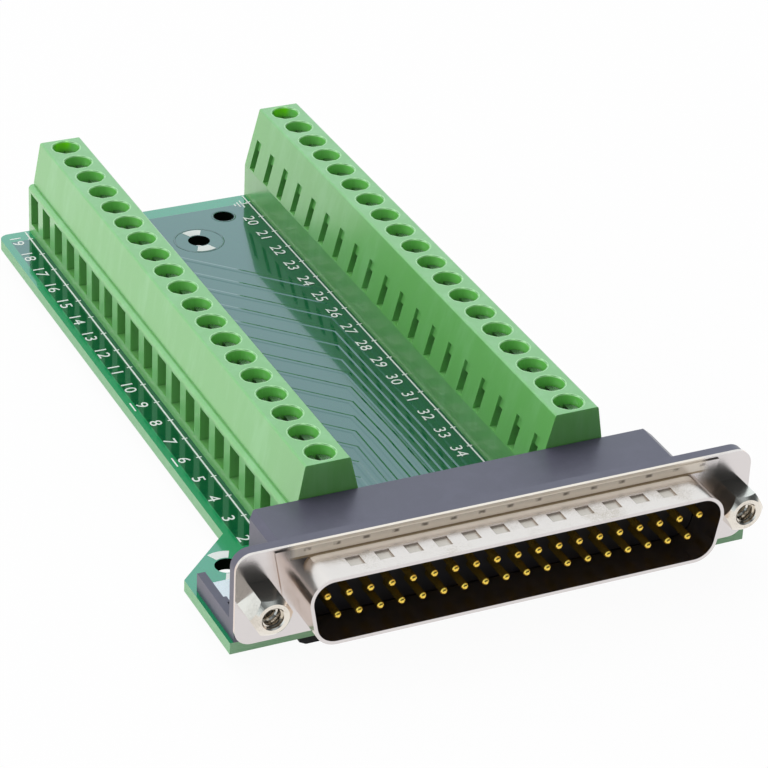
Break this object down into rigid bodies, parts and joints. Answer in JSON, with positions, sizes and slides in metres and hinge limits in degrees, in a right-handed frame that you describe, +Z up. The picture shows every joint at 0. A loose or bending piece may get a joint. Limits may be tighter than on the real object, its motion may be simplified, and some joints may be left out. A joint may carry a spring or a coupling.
{
  "type": "d-sub terminal block adapter",
  "caption": "Right-angle male D-sub connector on a green board, its contacts led to screw terminals in long parallel rows along the sides.",
  "frame": {"origin": "under the middle of the whole part, on the surface its feet stand on", "axes": "+Z up, +Y from the connector to the back of the board, +X to the right seen from the connector"},
  "size_m": [0.07, 0.1144, 0.0174],
  "materials": {
    "board": "satin solder mask",
    "green_plastic": "satin",
    "black_plastic": "satin",
    "shell": "tin plated, satin",
    "jackscrews": "nickel plated",
    "gold_pins": "gold plated",
    "tinned_bars": "tin plated",
    "plated_steel": "zinc plated",
    "terminal_screws": "zinc plated",
    "feet": "matte"
  },
  "bodies": {
    "adapter": {"circuit_board": "board", "left_terminal_housing": "green_plastic", "right_terminal_housing": "green_plastic", "left_clamp_cages": "plated_steel", "right_clamp_cages": "plated_steel", "left_contact_bars": "tinned_bars", "right_contact_bars": "tinned_bars", "left_jackscrew": "jackscrews", "right_jackscrew": "jackscrews", "left_board_lock": "tinned_bars", "right_board_lock": "tinned_bars", "front_left_foot": "feet", "rear_left_foot": "feet", "front_right_foot": "feet", "rear_right_foot": "feet", "connector_shell": "shell", "connector_housing": "black_plastic", "contact_insulator": "black_plastic", "upper_contact_pins": "gold_pins", "lower_contact_pins": "gold_pins"},
    "terminal_screw_01": {"terminal_screw_01": "terminal_screws"},
    "terminal_screw_02": {"terminal_screw_02": "terminal_screws"},
    "terminal_screw_03": {"terminal_screw_03": "terminal_screws"},
    "terminal_screw_04": {"terminal_screw_04": "terminal_screws"},
    "terminal_screw_05": {"terminal_screw_05": "terminal_screws"},
    "terminal_screw_06": {"terminal_screw_06": "terminal_screws"},
    "terminal_screw_07": {"terminal_screw_07": "terminal_screws"},
    "terminal_screw_08": {"terminal_screw_08": "terminal_screws"},
    "terminal_screw_09": {"terminal_screw_09": "terminal_screws"},
    "terminal_screw_10": {"terminal_screw_10": "terminal_screws"},
    "terminal_screw_11": {"terminal_screw_11": "terminal_screws"},
    "terminal_screw_12": {"terminal_screw_12": "terminal_screws"},
    "terminal_screw_13": {"terminal_screw_13": "terminal_screws"},
    "terminal_screw_14": {"terminal_screw_14": "terminal_screws"},
    "terminal_screw_15": {"terminal_screw_15": "terminal_screws"},
    "terminal_screw_16": {"terminal_screw_16": "terminal_screws"},
    "terminal_screw_17": {"terminal_screw_17": "terminal_screws"},
    "terminal_screw_18": {"terminal_screw_18": "terminal_screws"},
    "terminal_screw_19": {"terminal_screw_19": "terminal_screws"},
    "terminal_screw_ground": {"terminal_screw_ground": "terminal_screws"},
    "terminal_screw_20": {"terminal_screw_20": "terminal_screws"},
    "terminal_screw_21": {"terminal_screw_21": "terminal_screws"},
    "terminal_screw_22": {"terminal_screw_22": "terminal_screws"},
    "terminal_screw_23": {"terminal_screw_23": "terminal_screws"},
    "terminal_screw_24": {"terminal_screw_24": "terminal_screws"},
    "terminal_screw_25": {"terminal_screw_25": "terminal_screws"},
    "terminal_screw_26": {"terminal_screw_26": "terminal_screws"},
    "terminal_screw_27": {"terminal_screw_27": "terminal_screws"},
    "terminal_screw_28": {"terminal_screw_28": "terminal_screws"},
    "terminal_screw_29": {"terminal_screw_29": "terminal_screws"},
    "terminal_screw_30": {"terminal_screw_30": "terminal_screws"},
    "terminal_screw_31": {"terminal_screw_31": "terminal_screws"},
    "terminal_screw_32": {"terminal_screw_32": "terminal_screws"},
    "terminal_screw_33": {"terminal_screw_33": "terminal_screws"},
    "terminal_screw_34": {"terminal_screw_34": "terminal_screws"},
    "terminal_screw_35": {"terminal_screw_35": "terminal_screws"},
    "terminal_screw_36": {"terminal_screw_36": "terminal_screws"},
    "terminal_screw_37": {"terminal_screw_37": "terminal_screws"}
  },
  "joints": [
    {"name": "terminal_screw_01_turn", "type": "hinge", "parent": "adapter", "child": "terminal_screw_01", "pos_m": [-0.01705, -0.0353, 0.0161], "axis": [0, 0, 1], "range_deg": [-1800, 0]},
    {"name": "terminal_screw_02_turn", "type": "hinge", "parent": "adapter", "child": "terminal_screw_02", "pos_m": [-0.01705, -0.0303, 0.0161], "axis": [0, 0, 1], "range_deg": [-1800, 0]},
    {"name": "terminal_screw_03_turn", "type": "hinge", "parent": "adapter", "child": "terminal_screw_03", "pos_m": [-0.01705, -0.0253, 0.0161], "axis": [0, 0, 1], "range_deg": [-1800, 0]},
    {"name": "terminal_screw_04_turn", "type": "hinge", "parent": "adapter", "child": "terminal_screw_04", "pos_m": [-0.01705, -0.0203, 0.0161], "axis": [0, 0, 1], "range_deg": [-1800, 0]},
    {"name": "terminal_screw_05_turn", "type": "hinge", "parent": "adapter", "child": "terminal_screw_05", "pos_m": [-0.01705, -0.0153, 0.0161], "axis": [0, 0, 1], "range_deg": [-1800, 0]},
    {"name": "terminal_screw_06_turn", "type": "hinge", "parent": "adapter", "child": "terminal_screw_06", "pos_m": [-0.01705, -0.0103, 0.0161], "axis": [0, 0, 1], "range_deg": [-1800, 0]},
    {"name": "terminal_screw_07_turn", "type": "hinge", "parent": "adapter", "child": "terminal_screw_07", "pos_m": [-0.01705, -0.0053, 0.0161], "axis": [0, 0, 1], "range_deg": [-1800, 0]},
    {"name": "terminal_screw_08_turn", "type": "hinge", "parent": "adapter", "child": "terminal_screw_08", "pos_m": [-0.01705, -0.0003, 0.0161], "axis": [0, 0, 1], "range_deg": [-1800, 0]},
    {"name": "terminal_screw_09_turn", "type": "hinge", "parent": "adapter", "child": "terminal_screw_09", "pos_m": [-0.01705, 0.0047, 0.0161], "axis": [0, 0, 1], "range_deg": [-1800, 0]},
    {"name": "terminal_screw_10_turn", "type": "hinge", "parent": "adapter", "child": "terminal_screw_10", "pos_m": [-0.01705, 0.0097, 0.0161], "axis": [0, 0, 1], "range_deg": [-1800, 0]},
    {"name": "terminal_screw_11_turn", "type": "hinge", "parent": "adapter", "child": "terminal_screw_11", "pos_m": [-0.01705, 0.0147, 0.0161], "axis": [0, 0, 1], "range_deg": [-1800, 0]},
    {"name": "terminal_screw_12_turn", "type": "hinge", "parent": "adapter", "child": "terminal_screw_12", "pos_m": [-0.01705, 0.0197, 0.0161], "axis": [0, 0, 1], "range_deg": [-1800, 0]},
    {"name": "terminal_screw_13_turn", "type": "hinge", "parent": "adapter", "child": "terminal_screw_13", "pos_m": [-0.01705, 0.0247, 0.0161], "axis": [0, 0, 1], "range_deg": [-1800, 0]},
    {"name": "terminal_screw_14_turn", "type": "hinge", "parent": "adapter", "child": "terminal_screw_14", "pos_m": [-0.01705, 0.0297, 0.0161], "axis": [0, 0, 1], "range_deg": [-1800, 0]},
    {"name": "terminal_screw_15_turn", "type": "hinge", "parent": "adapter", "child": "terminal_screw_15", "pos_m": [-0.01705, 0.0347, 0.0161], "axis": [0, 0, 1], "range_deg": [-1800, 0]},
    {"name": "terminal_screw_16_turn", "type": "hinge", "parent": "adapter", "child": "terminal_screw_16", "pos_m": [-0.01705, 0.0397, 0.0161], "axis": [0, 0, 1], "range_deg": [-1800, 0]},
    {"name": "terminal_screw_17_turn", "type": "hinge", "parent": "adapter", "child": "terminal_screw_17", "pos_m": [-0.01705, 0.0447, 0.0161], "axis": [0, 0, 1], "range_deg": [-1800, 0]},
    {"name": "terminal_screw_18_turn", "type": "hinge", "parent": "adapter", "child": "terminal_screw_18", "pos_m": [-0.01705, 0.0497, 0.0161], "axis": [0, 0, 1], "range_deg": [-1800, 0]},
    {"name": "terminal_screw_19_turn", "type": "hinge", "parent": "adapter", "child": "terminal_screw_19", "pos_m": [-0.01705, 0.0547, 0.0161], "axis": [0, 0, 1], "range_deg": [-1800, 0]},
    {"name": "terminal_screw_ground_turn", "type": "hinge", "parent": "adapter", "child": "terminal_screw_ground", "pos_m": [0.01705, 0.0547, 0.0161], "axis": [0, 0, 1], "range_deg": [-1800, 0]},
    {"name": "terminal_screw_20_turn", "type": "hinge", "parent": "adapter", "child": "terminal_screw_20", "pos_m": [0.01705, 0.0497, 0.0161], "axis": [0, 0, 1], "range_deg": [-1800, 0]},
    {"name": "terminal_screw_21_turn", "type": "hinge", "parent": "adapter", "child": "terminal_screw_21", "pos_m": [0.01705, 0.0447, 0.0161], "axis": [0, 0, 1], "range_deg": [-1800, 0]},
    {"name": "terminal_screw_22_turn", "type": "hinge", "parent": "adapter", "child": "terminal_screw_22", "pos_m": [0.01705, 0.0397, 0.0161], "axis": [0, 0, 1], "range_deg": [-1800, 0]},
    {"name": "terminal_screw_23_turn", "type": "hinge", "parent": "adapter", "child": "terminal_screw_23", "pos_m": [0.01705, 0.0347, 0.0161], "axis": [0, 0, 1], "range_deg": [-1800, 0]},
    {"name": "terminal_screw_24_turn", "type": "hinge", "parent": "adapter", "child": "terminal_screw_24", "pos_m": [0.01705, 0.0297, 0.0161], "axis": [0, 0, 1], "range_deg": [-1800, 0]},
    {"name": "terminal_screw_25_turn", "type": "hinge", "parent": "adapter", "child": "terminal_screw_25", "pos_m": [0.01705, 0.0247, 0.0161], "axis": [0, 0, 1], "range_deg": [-1800, 0]},
    {"name": "terminal_screw_26_turn", "type": "hinge", "parent": "adapter", "child": "terminal_screw_26", "pos_m": [0.01705, 0.0197, 0.0161], "axis": [0, 0, 1], "range_deg": [-1800, 0]},
    {"name": "terminal_screw_27_turn", "type": "hinge", "parent": "adapter", "child": "terminal_screw_27", "pos_m": [0.01705, 0.0147, 0.0161], "axis": [0, 0, 1], "range_deg": [-1800, 0]},
    {"name": "terminal_screw_28_turn", "type": "hinge", "parent": "adapter", "child": "terminal_screw_28", "pos_m": [0.01705, 0.0097, 0.0161], "axis": [0, 0, 1], "range_deg": [-1800, 0]},
    {"name": "terminal_screw_29_turn", "type": "hinge", "parent": "adapter", "child": "terminal_screw_29", "pos_m": [0.01705, 0.0047, 0.0161], "axis": [0, 0, 1], "range_deg": [-1800, 0]},
    {"name": "terminal_screw_30_turn", "type": "hinge", "parent": "adapter", "child": "terminal_screw_30", "pos_m": [0.01705, -0.0003, 0.0161], "axis": [0, 0, 1], "range_deg": [-1800, 0]},
    {"name": "terminal_screw_31_turn", "type": "hinge", "parent": "adapter", "child": "terminal_screw_31", "pos_m": [0.01705, -0.0053, 0.0161], "axis": [0, 0, 1], "range_deg": [-1800, 0]},
    {"name": "terminal_screw_32_turn", "type": "hinge", "parent": "adapter", "child": "terminal_screw_32", "pos_m": [0.01705, -0.0103, 0.0161], "axis": [0, 0, 1], "range_deg": [-1800, 0]},
    {"name": "terminal_screw_33_turn", "type": "hinge", "parent": "adapter", "child": "terminal_screw_33", "pos_m": [0.01705, -0.0153, 0.0161], "axis": [0, 0, 1], "range_deg": [-1800, 0]},
    {"name": "terminal_screw_34_turn", "type": "hinge", "parent": "adapter", "child": "terminal_screw_34", "pos_m": [0.01705, -0.0203, 0.0161], "axis": [0, 0, 1], "range_deg": [-1800, 0]},
    {"name": "terminal_screw_35_turn", "type": "hinge", "parent": "adapter", "child": "terminal_screw_35", "pos_m": [0.01705, -0.0253, 0.0161], "axis": [0, 0, 1], "range_deg": [-1800, 0]},
    {"name": "terminal_screw_36_turn", "type": "hinge", "parent": "adapter", "child": "terminal_screw_36", "pos_m": [0.01705, -0.0303, 0.0161], "axis": [0, 0, 1], "range_deg": [-1800, 0]},
    {"name": "terminal_screw_37_turn", "type": "hinge", "parent": "adapter", "child": "terminal_screw_37", "pos_m": [0.01705, -0.0353, 0.0161], "axis": [0, 0, 1], "range_deg": [-1800, 0]}
  ]
}
